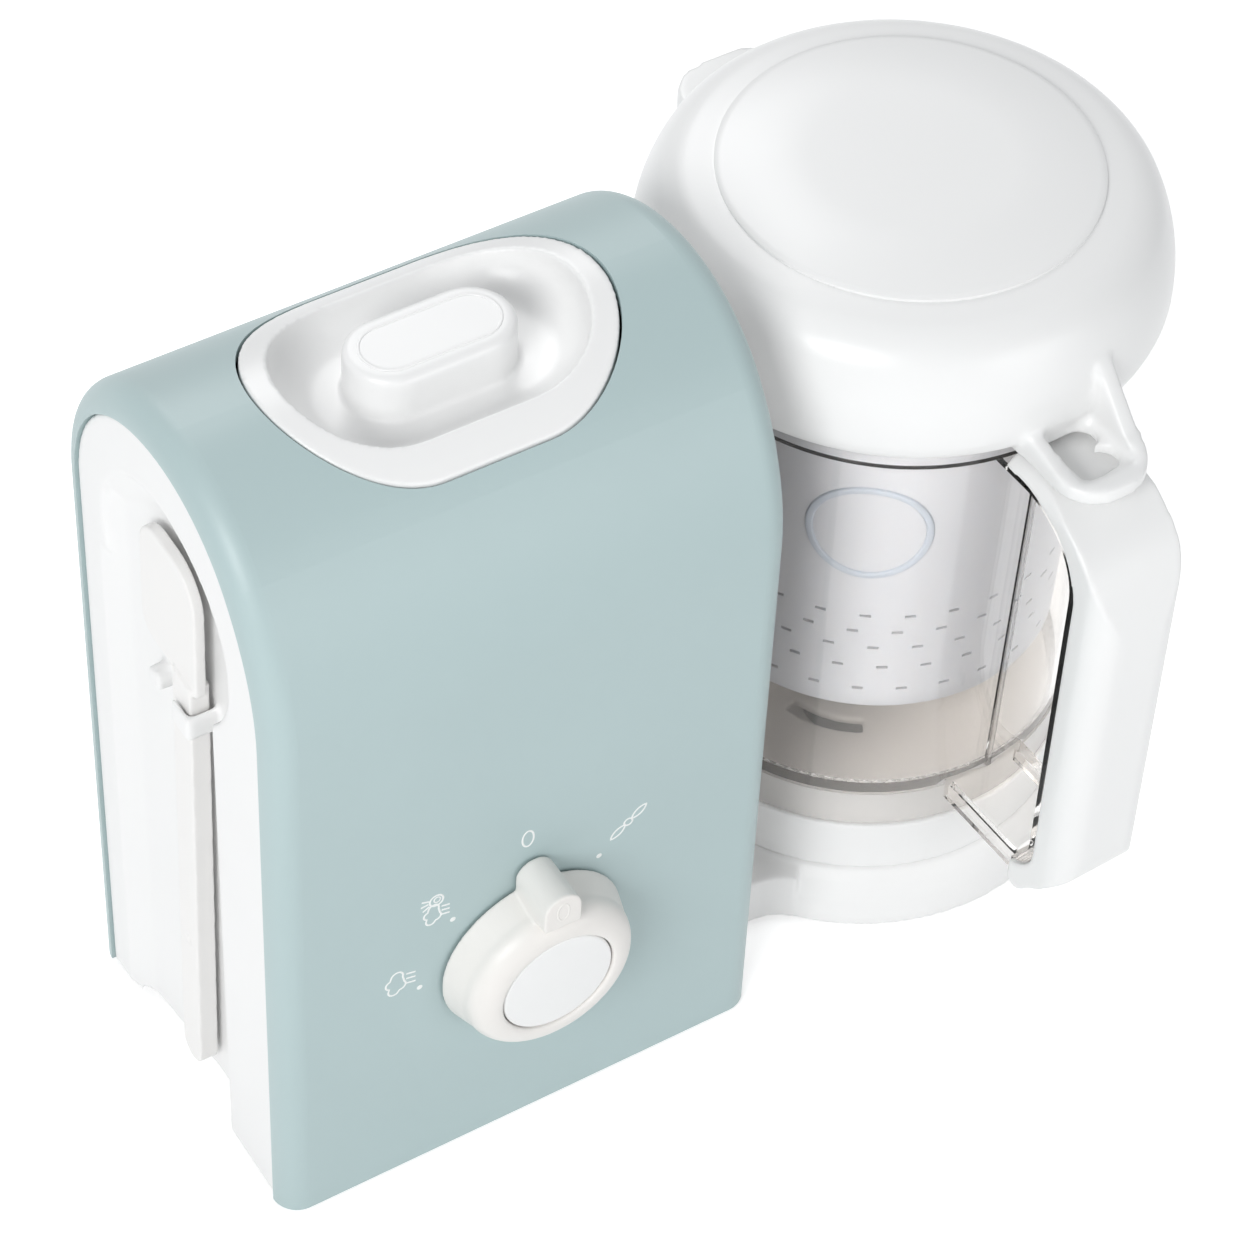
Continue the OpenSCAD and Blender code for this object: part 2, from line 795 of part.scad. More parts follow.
module grip() {
    color(white) place() at_handle() difference() {
        intersection() {
            translate([15, 0, 0]) rotate([90, 0, -90]) linear_extrude(30) grip_side();
            translate([-14, -handle_reach, 0]) linear_extrude(200) round_rect(28, 60, 8);
            rotate([90, 0, 0]) linear_extrude(150)
                translate([-14, 30]) round_rect(28, rim_z - 31.5, 5);
        }
        translate([0, grip_screw_y, bowl_z]) cylinder(r = 2.4, h = 4.9);
        translate([0, grip_screw_y, bowl_z]) cylinder(r = 1.3, h = 14);
    }
}

// The screw holds the grip's foot to the bracket's lower bend.
module grip_screw() {
    color(steel) place() at_handle() translate([0, grip_screw_y, bowl_z + 3.9]) {
        cylinder(r = 2.2, h = 1);
        cylinder(r = 1.3, h = 10.9);
    }
}

module bowl_magnet() {
    color(steel) place() at_handle(180) translate([0, -44, floor_z - 4.8])
        cylinder(r = 2.5, h = 3.2);
}

module hub_nut() {
    color(white) place() translate([bowl_x, bowl_y, floor_z - 5]) difference() {
        cylinder(r = 12, h = 4);
        translate([0, 0, -1]) cylinder(r = 6, h = 8);
    }
}

module shaft_seal() {
    color(silicone) place() translate([bowl_x, bowl_y, floor_z + 5]) difference() {
        cylinder(r = 6.5, h = 3.8);
        translate([0, 0, -1]) cylinder(r = shaft_r + 0.06, h = 8);
    }
}

// ---------- lid ----------

// Points along an arc, without its first one.
function arc_points(c, r, from, to, steps) =
    [for (k = [1:steps]) around(c, from + (to - from) * k / steps, r)];

// Half of the lid's section: a flat middle, a crease, a round shoulder and a bowed wall.
module lid_outline(inset = 0) {
    wall_r = 45;
    shoulder_r = 14;
    top_r = 105;
    crease_r = 47.8;
    slope = 90 - 12.5;
    rise = 25;
    top_c = [crease_r - top_r * cos(slope), lid_top - top_r];
    shoulder_x = lid_r - wall_r + (wall_r - shoulder_r) * cos(rise);
    shoulder_drop = (shoulder_x + shoulder_r * cos(slope) - crease_r) / tan(slope);
    shoulder_c = [shoulder_x, top_c[1] + (top_r - shoulder_r) * sin(slope) - shoulder_drop];
    wall_c = [lid_r - wall_r, shoulder_c[1] - (wall_r - shoulder_r) * sin(rise)];
    polygon(concat([[0, top_c[1]], [lid_r - inset, top_c[1]], [lid_r - inset, wall_c[1]]],
        arc_points(wall_c, wall_r - inset, 0, rise, 6),
        arc_points(shoulder_c, shoulder_r - inset, rise, slope, 10),
        [around(top_c, slope, top_r - inset - 0.3)],
        arc_points(top_c, top_r - inset, slope - 0.2, 90, 5), [[0, lid_top - inset]]));
}

// The lid's lower edge, drawn in under the wall.
module lid_skirt() {
    edge_z = 180.4;
    difference() {
        lid_outline();
        square([80, edge_z]);
        polygon([[lid_r - 3.6, edge_z - 1], [lid_r + 1, edge_z - 1], [lid_r + 1, edge_z + 5.5],
            [lid_r, edge_z + 5.5], [lid_r - 1.1, edge_z + 2], [lid_r - 3.6, edge_z]]);
    }
}

module lid() {
    flange_z = rim_z + 3.1;
    color(white) place() difference() {
        union() {
            translate([bowl_x, bowl_y, 0]) rotate_extrude($fn = 128) lid_skirt();
            at_handle() lid_tab();
            at_handle(180) lid_hood();
        }
        translate([bowl_x, bowl_y, 0]) rotate_extrude($fn = 128) intersection() {
            lid_outline(2.6);
            translate([0, flange_z + 2.5]) square([80, 40]);
        }
        translate([bowl_x, bowl_y, 170]) cylinder(r = 54, h = 20, $fn = 128);
        translate([bowl_x, bowl_y, 170]) cylinder(r = 61.7, h = flange_z - 170, $fn = 128);
        at_handle(180) translate([-14, -bowl_r - 15, 176]) cube([28, 20, 4.6]);
        translate([bowl_x - lid_r - 4, bowl_y, steam_z]) rotate([0, 90, 0])
            cylinder(r = 5, h = 12);
    }
}

// The tab over the handle, with a notched hole for a fingertip and a rim round it.
module lid_tab() {
    difference() {
        intersection() {
            translate([-12.5, -90, 176]) linear_extrude(30) round_rect(25, 44, 11);
            union() {
                translate([-13, -91, 178.2]) cube([26, 46, 3.6]);
                translate([-13, -91, 178.2]) cube([26, 6.4, 4.8]);
                lid_rim(7.6, 4.9, 186, 199.5);
                lid_rim(-12.5, 4.3, 183.4, 187);
            }
        }
        translate([0, -74.5, 170]) linear_extrude(20) {
            for (s = [-1, 1]) {
                translate([2, s * 4.2]) circle(4.2);
                translate([-4.4, s * 6]) circle(2.4);
            }
            translate([-4.4, -8.4]) square([6.4, 16.8]);
            translate([-6.8, -6]) square([8, 12]);
        }
    }
}

module lid_rim(x, wide, low, high) {
    translate([x, 0, 0]) rotate([90, 0, 90]) linear_extrude(wide)
        polygon([[-60, 179], [-90, 179], [-89, 182], [-79, low], [-66, high], [-60, high]]);
}

// The hood over the spout, opposite the tab.
module lid_hood() {
    difference() {
        translate([-17, -hood_reach, 179]) linear_extrude(13) round_rect(34, 60, 12);
        translate([-14.4, -hood_reach + 2.6, 178]) linear_extrude(11.4) round_rect(28.8, 60, 9.4);
    }
}

module lid_seal() {
    color(silicone) place() translate([bowl_x, bowl_y, rim_z + 0.05]) difference() {
        cylinder(r = 60.5, h = 2.95, $fn = 128);
        translate([0, 0, -1]) cylinder(r = 56.9, h = 6, $fn = 128);
    }
}

// ---------- basket and blade ----------

module basket() {
    color(frosted) place() translate([bowl_x, bowl_y, 0]) difference() {
        union() {
            rotate_extrude($fn = 128) polygon([[11, basket_z], [basket_r - 3, basket_z],
                [basket_r - 1, basket_z + 2], [basket_r + 1.6, rim_z - 6],
                [basket_r + 4.6, rim_z - 6], [basket_r + 4.6, rim_z - 4],
                [basket_r, rim_z - 4], [basket_r - 2.6, basket_z + 2.4],
                [13, basket_z + 2.4], [13, basket_z + 30], [11, basket_z + 30]]);
        }
        for (turn = [0:15:345]) {
            rotate(turn) translate([30, 0, basket_z - 1]) cylinder(r = 2, h = 5, $fn = 16);
        }
        for (turn = [0:20:340], row = [0:2]) {
            rotate(turn + 5 * row) translate([basket_r - 8, 0, basket_z + 14 + row * 13])
                rotate([0, 90, 0]) cylinder(r = 1.6, h = 14, $fn = 16);
        }
        translate([0, 0, basket_z + 27]) cylinder(r = 20, h = 5);
    }
}

module blade_shaft() {
    color(steel) place() translate([bowl_x, bowl_y, 0]) {
        translate([0, 0, 33.2]) cylinder(r = shaft_r, h = floor_z - 12);
        translate([0, 0, 23]) cylinder(r = 9.3, h = 10.4, $fn = 6);
    }
}

module blade_hub() {
    color(white) place() translate([bowl_x, bowl_y, floor_z + 9.4]) difference() {
        union() {
            cylinder(r = 9, h = 12);
            translate([0, 0, 12]) cylinder(r1 = 9, r2 = 6, h = 4);
        }
        translate([0, 0, -1]) cylinder(r = shaft_r, h = 12.8);
    }
}

// Four wings in two pairs, one pair lower than the other.
module blade_steel() {
    color(steel) place() translate([bowl_x, bowl_y, floor_z + 10.6]) difference() {
        union() {
            for (turn = [0, 180]) {
                rotate(turn) linear_extrude(1.6) wing(blade_r);
                rotate(turn + 90) translate([0, 0, 4]) linear_extrude(1.6) wing(blade_r - 6);
            }
            cylinder(r = 12, h = 5.6);
        }
        translate([0, 0, -1]) cylinder(r = 9, h = 12);
    }
}

module wing(reach) {
    polygon([[8, -6], [reach - 8, -5], [reach, 1], [reach - 6, 5], [20, 6.5], [8, 7]]);
}

// ---------- spatula ----------

module spatula_outline() {
    polygon([[38.5, 161], [59.5, 161], [65.5, 167], [65.5, 191.5], [56.5, 200.5],
        [50.5, 200.5], [38.5, 188.5]]);
    translate([50.5, 188.5]) circle(12, $fn = 96);
    translate([56.5, 191.5]) circle(9);
    translate([59.5, 167]) circle(6);
}

module spatula() {
    color(warm_white) place() translate([0, stick_y, 147]) rotate([spatula_lean, 0, 0])
        translate([0, -stick_y, -147]) difference() {
            union() {
                translate([0.4, 0, 0]) rotate([90, 0, 90]) linear_extrude(3) spatula_outline();
                translate([-0.4, stick_y - stick_w / 2, 16]) cube([5.4, stick_w, 147]);
                translate([-0.4, stick_y, 16]) rotate([0, 90, 0]) cylinder(d = stick_w, h = 5.4);
            }
            translate([-1, stick_y, 62]) rotate([0, 90, 0]) cylinder(r = 1.2, h = 1.2);
        }
}

shell();
panel_left();
panel_right();
inner_frame();
base_cover();
base_plate();
seat_ring();
seat_plate();
feet();
base_screws();
tank();
boiler();
thermostat();
steam_tube();
steam_nozzle();
switch_body();
circuit_board();
motor();
belt();
drive_bearing();
power_inlet();
bowl_sensor();
tank_cap();
cap_seal();
knob();
knob_shaft();
button_spring();
button();
bowl();
grip();
grip_screw();
bowl_magnet();
hub_nut();
shaft_seal();
lid_seal();
lid();
basket();
blade_shaft();
blade_hub();
blade_steel();
drive_pulley();
drive_shaft();
drive_coupling();
motor_pulley();
spatula();
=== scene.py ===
import math

import bmesh
import bpy
from mathutils import Matrix, Vector


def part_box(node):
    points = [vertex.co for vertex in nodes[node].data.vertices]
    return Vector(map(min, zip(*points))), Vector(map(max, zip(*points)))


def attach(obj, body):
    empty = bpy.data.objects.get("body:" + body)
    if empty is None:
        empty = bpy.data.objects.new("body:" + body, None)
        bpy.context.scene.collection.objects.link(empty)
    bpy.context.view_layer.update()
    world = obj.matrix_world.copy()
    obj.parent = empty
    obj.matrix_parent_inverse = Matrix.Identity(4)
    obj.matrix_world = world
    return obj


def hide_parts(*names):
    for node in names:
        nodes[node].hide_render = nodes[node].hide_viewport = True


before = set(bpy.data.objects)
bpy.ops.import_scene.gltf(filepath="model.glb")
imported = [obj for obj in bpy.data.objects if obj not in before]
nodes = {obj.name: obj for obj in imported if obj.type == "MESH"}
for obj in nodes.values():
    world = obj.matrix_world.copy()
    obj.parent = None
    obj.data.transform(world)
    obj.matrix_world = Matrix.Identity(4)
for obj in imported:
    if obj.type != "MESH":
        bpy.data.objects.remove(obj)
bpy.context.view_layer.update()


# ---------------------------------------------------------------------------
# Studio: a pale worktop in an even white room. A large soft lamp stands at the
# upper left, a weak low fill in front, and a broad lamp high behind the part.
# ---------------------------------------------------------------------------
MM = 0.001
SHELL_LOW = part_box("shell")[0]


def on_part(x, y, z):
    """A point measured in mm from the shell's lower left front corner."""
    return Vector((SHELL_LOW.x + x * MM, SHELL_LOW.y + y * MM, SHELL_LOW.z + z * MM))


def add_camera():
    """A long lens that looks down on the part from its front left."""
    stand = on_part(-299.3, -586.7, 947.3)
    heading, look_down, roll = math.radians(33.81), math.radians(47.57), math.radians(3.10)
    data = bpy.data.cameras.new("camera")
    data.sensor_fit = "HORIZONTAL"
    data.sensor_width = 36.0
    data.lens = 129.4
    data.clip_end = 10.0
    camera = bpy.data.objects.new("camera", data)
    bpy.context.scene.collection.objects.link(camera)
    turn = Matrix.Rotation(-heading, 4, "Z") @ Matrix.Rotation(math.pi / 2 - look_down, 4, "X")
    turn = turn @ Matrix.Rotation(roll, 4, "Z")
    camera.matrix_world = Matrix.Translation(stand) @ turn
    bpy.context.scene.camera = camera


def add_lamp(name, place, aim, size, watts):
    """A round soft lamp, size metres across, that stands at one point and faces another."""
    data = bpy.data.lights.new(name, "AREA")
    data.shape = "DISK"
    data.size = size
    data.energy = watts
    lamp = bpy.data.objects.new(name, data)
    lamp.location = place
    lamp.rotation_euler = (Vector(place) - Vector(aim)).to_track_quat("Z", "Y").to_euler()
    bpy.context.scene.collection.objects.link(lamp)


def seen_directly(tree):
    """1 where a camera, mirror or glass ray sees a surface, and 0 where it only gives light."""
    seen = tree.nodes.new("ShaderNodeLightPath")
    either = tree.nodes.new("ShaderNodeMath")
    either.operation = "MAXIMUM"
    anyway = tree.nodes.new("ShaderNodeMath")
    anyway.operation = "MAXIMUM"
    tree.links.new(seen.outputs["Is Camera Ray"], either.inputs[0])
    tree.links.new(seen.outputs["Is Glossy Ray"], either.inputs[1])
    tree.links.new(either.outputs[0], anyway.inputs[0])
    tree.links.new(seen.outputs["Is Transmission Ray"], anyway.inputs[1])
    return anyway.outputs[0]


def white_room():
    """Plain white to look at, but it lights the part only softly and a little coolly."""
    world = bpy.data.worlds.new("room")
    world.use_nodes = True
    tree = world.node_tree
    tree.nodes.clear()
    lit = tree.nodes.new("ShaderNodeBackground")
    lit.inputs["Color"].default_value = (0.95, 0.975, 1.0, 1.0)
    lit.inputs["Strength"].default_value = 0.43
    shown = tree.nodes.new("ShaderNodeBackground")
    shown.inputs["Color"].default_value = (1.0, 1.0, 1.0, 1.0)
    shown.inputs["Strength"].default_value = 1.0
    mix = tree.nodes.new("ShaderNodeMixShader")
    out = tree.nodes.new("ShaderNodeOutputWorld")
    tree.links.new(seen_directly(tree), mix.inputs["Fac"])
    tree.links.new(lit.outputs[0], mix.inputs[1])
    tree.links.new(shown.outputs[0], mix.inputs[2])
    tree.links.new(mix.outputs[0], out.inputs["Surface"])
    bpy.context.scene.world = world


def add_worktop():
    """A pale sheet that looks as white as the room but still takes the part's soft shadow."""
    mesh = bpy.data.meshes.new("worktop")
    shape = bmesh.new()
    bmesh.ops.create_grid(shape, x_segments=1, y_segments=1, size=6.0)
    shape.to_mesh(mesh)
    shape.free()
    floor = bpy.data.objects.new("worktop", mesh)
    bpy.context.scene.collection.objects.link(floor)
    material = bpy.data.materials.new("worktop")
    material.use_nodes = True
    tree = material.node_tree
    surface = tree.nodes["Principled BSDF"]
    surface.inputs["Base Color"].default_value = (0.88, 0.88, 0.88, 1.0)
    surface.inputs["Roughness"].default_value = 0.8
    surface.inputs["Specular IOR Level"].default_value = 0.1
    surface.inputs["Emission Color"].default_value = (1.0, 1.0, 1.0, 1.0)
    whiter = tree.nodes.new("ShaderNodeMath")
    whiter.operation = "MULTIPLY"
    whiter.inputs[1].default_value = 0.47
    tree.links.new(seen_directly(tree), whiter.inputs[0])
    tree.links.new(whiter.outputs[0], surface.inputs["Emission Strength"])
    mesh.materials.append(material)


bpy.context.scene.view_settings.view_transform = "Standard"
add_camera()
white_room()
add_worktop()
add_lamp("softbox", place=(-1.5, -1.0, 1.25), aim=(0.0, 0.0, 0.1), size=1.0, watts=24.0)
add_lamp("fill", place=(0.5, -1.5, 0.5), aim=(0.05, 0.0, 0.08), size=1.0, watts=4.6)
add_lamp("back_light", place=(0.4, 1.5, 1.6), aim=(0.0, 0.0, 0.15), size=1.2, watts=14.0)


# ---------------------------------------------------------------------------
# Arched shell: one moulding in grey teal ABS with a fine satin spark texture.
# It carries the tank opening, the knob's hole and the inlet's window.
# ---------------------------------------------------------------------------
def takes(group, name, kind, default):
    """Adds an input to a shader node group."""
    made = group.interface.new_socket(name=name, in_out="INPUT", socket_type=kind)
    made.default_value = default


def gives(group, name, kind):
    """Adds an output to a shader node group."""
    group.interface.new_socket(name=name, in_out="OUTPUT", socket_type=kind)


def moulded_surface_group():
    """A moulded skin: flow clouds in its colour, handling marks in its gloss, and a fine grain."""
    group = bpy.data.node_groups.new("moulded_surface", "ShaderNodeTree")
    takes(group, "Colour", "NodeSocketColor", (0.8, 0.8, 0.8, 1.0))
    takes(group, "Shade", "NodeSocketFloat", 0.03)
    takes(group, "Roughness", "NodeSocketFloat", 0.4)
    takes(group, "Marks", "NodeSocketFloat", 0.08)
    takes(group, "Grain", "NodeSocketFloat", 900.0)
    gives(group, "Colour", "NodeSocketColor")
    gives(group, "Roughness", "NodeSocketFloat")
    gives(group, "Height", "NodeSocketFloat")
    tree = group.nodes
    link = group.links.new
    given = tree.new("NodeGroupInput")
    result = tree.new("NodeGroupOutput")
    place = tree.new("ShaderNodeTexCoord")
    clouds = tree.new("ShaderNodeTexNoise")
    clouds.inputs["Scale"].default_value = 14.0
    clouds.inputs["Detail"].default_value = 3.0
    link(place.outputs["Object"], clouds.inputs["Vector"])
    shade = tree.new("ShaderNodeMapRange")
    shade.inputs["From Min"].default_value = 0.3
    shade.inputs["From Max"].default_value = 0.7
    link(clouds.outputs["Fac"], shade.inputs["Value"])
    dark = tree.new("ShaderNodeMath")
    dark.operation = "SUBTRACT"
    dark.inputs[0].default_value = 1.0
    link(given.outputs["Shade"], dark.inputs[1])
    link(dark.outputs[0], shade.inputs["To Min"])
    shade.inputs["To Max"].default_value = 1.0
    tint = tree.new("ShaderNodeVectorMath")
    tint.operation = "SCALE"
    link(given.outputs["Colour"], tint.inputs[0])
    link(shade.outputs["Result"], tint.inputs["Scale"])
    link(tint.outputs[0], result.inputs["Colour"])
    marks = tree.new("ShaderNodeTexNoise")
    marks.inputs["Scale"].default_value = 60.0
    marks.inputs["Detail"].default_value = 5.0
    marks.inputs["Roughness"].default_value = 0.6
    marks.inputs["Distortion"].default_value = 0.6
    link(place.outputs["Object"], marks.inputs["Vector"])
    centred = tree.new("ShaderNodeMath")
    centred.operation = "SUBTRACT"
    centred.inputs[1].default_value = 0.5
    link(marks.outputs["Fac"], centred.inputs[0])
    rough = tree.new("ShaderNodeMath")
    rough.operation = "MULTIPLY_ADD"
    link(centred.outputs[0], rough.inputs[0])
    link(given.outputs["Marks"], rough.inputs[1])
    link(given.outputs["Roughness"], rough.inputs[2])
    link(rough.outputs[0], result.inputs["Roughness"])
    grain = tree.new("ShaderNodeTexNoise")
    grain.inputs["Detail"].default_value = 2.0
    link(place.outputs["Object"], grain.inputs["Vector"])
    link(given.outputs["Grain"], grain.inputs["Scale"])
    link(grain.outputs["Fac"], result.inputs["Height"])
    return group


MOULDED = moulded_surface_group()


def with_skin(name, colour, roughness, marks, shade=0.03, grain=900.0):
    """A material that takes its colour and roughness from the moulded skin."""
    material = bpy.data.materials.new(name)
    material.use_nodes = True
    tree = material.node_tree
    surface = tree.nodes["Principled BSDF"]
    skin = tree.nodes.new("ShaderNodeGroup")
    skin.node_tree = MOULDED
    skin.inputs["Colour"].default_value = (*colour, 1.0)
    skin.inputs["Shade"].default_value = shade
    skin.inputs["Roughness"].default_value = roughness
    skin.inputs["Marks"].default_value = marks
    skin.inputs["Grain"].default_value = grain
    tree.links.new(skin.outputs["Colour"], surface.inputs["Base Color"])
    tree.links.new(skin.outputs["Roughness"], surface.inputs["Roughness"])
    return material, surface, skin


def moulded(name, colour, roughness=0.4, marks=0.1, shade=0.03, grain=900.0, soft=0.0):
    """A moulded plastic or rubber. soft scatters a little light under the skin."""
    material, surface, skin = with_skin(name, colour, roughness, marks, shade, grain)
    tree = material.node_tree
    bump = tree.nodes.new("ShaderNodeBump")
    bump.inputs["Strength"].default_value = 0.6
    bump.inputs["Distance"].default_value = 0.02 * MM
    tree.links.new(skin.outputs["Height"], bump.inputs["Height"])
    tree.links.new(bump.outputs["Normal"], surface.inputs["Normal"])
    surface.inputs["Subsurface Weight"].default_value = soft
    surface.inputs["Subsurface Radius"].default_value = (1.0, 0.9, 0.8)
    surface.inputs["Subsurface Scale"].default_value = 2.0 * MM
    return material


def dress(name, material):
    """Gives a CAD node its finish."""
    mesh = nodes[name].data
    mesh.materials.clear()
    mesh.materials.append(material)


TEAL = (0.430, 0.540, 0.545)
dress("shell", moulded("shell_teal", TEAL, roughness=0.42, marks=0.08, shade=0.02, grain=1100.0))


# ---------------------------------------------------------------------------
# Legends: pad-printed in white on the shell round the knob. A nought for off,
# and plain signs for steam, steam with food, and food; a dot marks each stop.
# ---------------------------------------------------------------------------
def upright(x, y, z):
    """Stands a shape drawn in mm on edge, facing the front, at a point of the part."""
    return (Matrix.Translation((x, y, z)) @ Matrix.Rotation(math.pi / 2, 4, "X")
            @ Matrix.Scale(MM, 4))


def arc(x, y, radius, start, end, steps, squash=1.0):
    """Points along an arc in the drawing plane, from one angle to another in degrees."""
    turns = [math.radians(start + (end - start) * k / steps) for k in range(steps + 1)]
    return [(x + radius * math.cos(a), y + squash * radius * math.sin(a)) for a in turns]


def moved(points, x, y, turn=0.0, size=1.0):
    """The same outline turned, scaled and moved in its plane."""
    c, s = size * math.cos(math.radians(turn)), size * math.sin(math.radians(turn))
    return [(x + c * p - s * q, y + s * p + c * q) for p, q in points]


def stroke(shape, points, half_width, rise, closed=False):
    """Adds a raised round line through points of the XY plane to a bmesh."""
    line = bpy.data.curves.new("stroke", "CURVE")
    line.dimensions = "3D"
    line.bevel_depth = half_width
    line.bevel_resolution = 2
    line.use_fill_caps = True
    path = line.splines.new("POLY")
    path.points.add(len(points) - 1)
    for knot, (x, y) in zip(path.points, points):
        knot.co = (x, y, 0.0, 1.0)
    path.use_cyclic_u = closed
    drawn = bpy.data.objects.new("stroke", line)
    mesh = bpy.data.meshes.new_from_object(drawn)
    before = len(shape.verts)
    shape.from_mesh(mesh)
    shape.verts.ensure_lookup_table()
    bmesh.ops.scale(shape, vec=(1.0, 1.0, rise / half_width), verts=shape.verts[before:])
    bpy.data.objects.remove(drawn)
    bpy.data.curves.remove(line)
    bpy.data.meshes.remove(mesh)


def add_piece(name, shape, place, material, body):
    """Makes a bmesh drawn in mm into a finished piece that rides on a body."""
    crease = math.radians(40.0)
    bmesh.ops.transform(shape, matrix=place, verts=shape.verts)
    bmesh.ops.recalc_face_normals(shape, faces=shape.faces)
    mesh = bpy.data.meshes.new(name)
    shape.to_mesh(mesh)
    shape.free()
    for face in mesh.polygons:
        face.use_smooth = True
    mesh.set_sharp_from_angle(angle=crease)
    mesh.materials.append(material)
    piece = bpy.data.objects.new(name, mesh)
    bpy.context.scene.collection.objects.link(piece)
    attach(piece, body)
    return piece


def add_legends():
    """The signs and dots as fine raised lines, drawn in mm from the shell's lower left corner."""
    line, fine_line, dot_line, rise = 0.28, 0.2, 0.42, 0.10
    nought, steam, steam_with_food = (68.6, 109.6), (31.9, 76.2), (42.1, 96.8)
    fruit, stone = (43.2, 101.6), (43.4, 101.8)
    berry, leaves = (97.4, 98.8), ((100.4, 101.2), (94.5, 96.5))
    stops = ((89.3, 90.6), (47.8, 91.5), (38.6, 70.6))
    cloud = (arc(0.4, 2.4, 1.7, -20, 160, 10) + arc(-1.3, 0.2, 1.5, 100, 250, 8)
             + arc(-0.5, -2.5, 1.6, 170, 300, 8) + arc(1.2, -1.3, 1.6, 265, 400, 8))
    leaf = arc(0.0, -2.6, 3.7, 45, 135, 10) + arc(0.0, 2.6, 3.7, 225, 315, 10)
    shape = bmesh.new()
    stroke(shape, arc(*nought, 1.6, 0, 360, 28, squash=1.75)[:-1], line, rise, closed=True)
    for place, size in ((steam, 1.0), (steam_with_food, 0.86)):
        stroke(shape, moved(cloud, *place, size=size), line, rise, closed=True)
        for low in (-1.8, 0.0, 1.8):
            streak = [(2.9, low + 0.3), (5.5, low - 0.3)]
            stroke(shape, moved(streak, *place, size=size), line, rise)
    stroke(shape, arc(*fruit, 1.9, 0, 360, 20)[:-1], line, rise, closed=True)
    stroke(shape, arc(*stone, 0.9, 0, 360, 16)[:-1], fine_line, rise, closed=True)
    for turn in (160, 185, 210):
        stroke(shape, moved([(2.3, 0.0), (4.4, 0.0)], *fruit, turn), line, rise)
    stroke(shape, arc(*berry, 1.2, 0, 360, 18)[:-1], line, rise, closed=True)
    for place in leaves:
        stroke(shape, moved(leaf, *place, 40), line, rise, closed=True)
    for place in stops:
        stroke(shape, arc(*place, 0.4, 0, 360, 12)[:-1], dot_line, rise, closed=True)
    ink = moulded("white_print", (0.86, 0.88, 0.87), roughness=0.5, marks=0.1, shade=0.04)
    add_piece("legends", shape, upright(*SHELL_LOW), ink, "housing")


add_legends()


# ---------------------------------------------------------------------------
# Side panels: white satin mouldings that snap into the shell. The left one has
# the recess, hook and peg that keep the spatula, and its edges are softened as
# its mould leaves them.
# ---------------------------------------------------------------------------
def softened(name, node, grid, rounds, material, body):
    """A CAD moulding with its edges eased: an even mesh of grid mm, smoothed a few rounds."""
    weld = 0.005 * MM
    shape = bmesh.new()
    shape.from_mesh(nodes[node].data)
    bmesh.ops.remove_doubles(shape, verts=shape.verts, dist=weld)
    rough = bpy.data.meshes.new(name)
    shape.to_mesh(rough)
    shape.free()
    piece = bpy.data.objects.new(name, rough)
    bpy.context.scene.collection.objects.link(piece)
    even = piece.modifiers.new("even", "REMESH")
    even.mode = "VOXEL"
    even.voxel_size = grid * MM
    ease = piece.modifiers.new("ease", "SMOOTH")
    ease.factor = 0.5
    ease.iterations = rounds
    bpy.context.view_layer.update()
    made = piece.evaluated_get(bpy.context.evaluated_depsgraph_get())
    mesh = bpy.data.meshes.new_from_object(made)
    piece.modifiers.clear()
    piece.data = mesh
    mesh.name = name
    for face in mesh.polygons:
        face.use_smooth = True
    mesh.materials.clear()
    mesh.materials.append(material)
    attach(piece, body)
    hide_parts(node)


WHITE = (0.86, 0.86, 0.855)
satin_white = moulded("satin_white", WHITE, roughness=0.42, marks=0.1, shade=0.015)
softened("side_panel_left", "panel_left", 0.7, 9, satin_white, "housing")
for name in ("panel_right", "inner_frame"):
    dress(name, satin_white)


# ---------------------------------------------------------------------------
# Water and steam: a frosted tank over a cast alloy boiler with its thermostat,
# and a silicone tube that leads the steam to the nozzle beside the lid.
# ---------------------------------------------------------------------------
def clear(name, colour, roughness, ior=1.5, through=1.0):
    """Clear or frosted plastic, which also lets the lamps' light through in its own tint."""
    material, surface, _ = with_skin(name, colour, roughness, marks=0.3 * roughness, shade=0.01)
    tree = material.node_tree
    surface.inputs["IOR"].default_value = ior
    surface.inputs["Transmission Weight"].default_value = through
    passing = tree.nodes.new("ShaderNodeBsdfTransparent")
    passing.inputs["Color"].default_value = (*colour, 1.0)
    path = tree.nodes.new("ShaderNodeLightPath")
    either = tree.nodes.new("ShaderNodeMixShader")
    tree.links.new(path.outputs["Is Shadow Ray"], either.inputs["Fac"])
    tree.links.new(surface.outputs["BSDF"], either.inputs[1])
    tree.links.new(passing.outputs["BSDF"], either.inputs[2])
    tree.links.new(either.outputs["Shader"], tree.nodes["Material Output"].inputs["Surface"])
    return material


def metal(name, colour, roughness):
    """Bare metal with the marks that handling leaves in its gloss."""
    material, surface, _ = with_skin(name, colour, roughness, marks=0.2)
    surface.inputs["Metallic"].default_value = 1.0
    return material


dress("tank", clear("tank_frosted", (0.90, 0.93, 0.95), 0.4))
dress("boiler", metal("cast_alloy", (0.55, 0.55, 0.56), 0.45))
steel = metal("bright_steel", (0.62, 0.62, 0.63), 0.25)
dress("thermostat", steel)
milky = moulded("milky_silicone", (0.78, 0.78, 0.76), roughness=0.5)
for name in ("steam_tube", "steam_nozzle"):
    dress(name, milky)


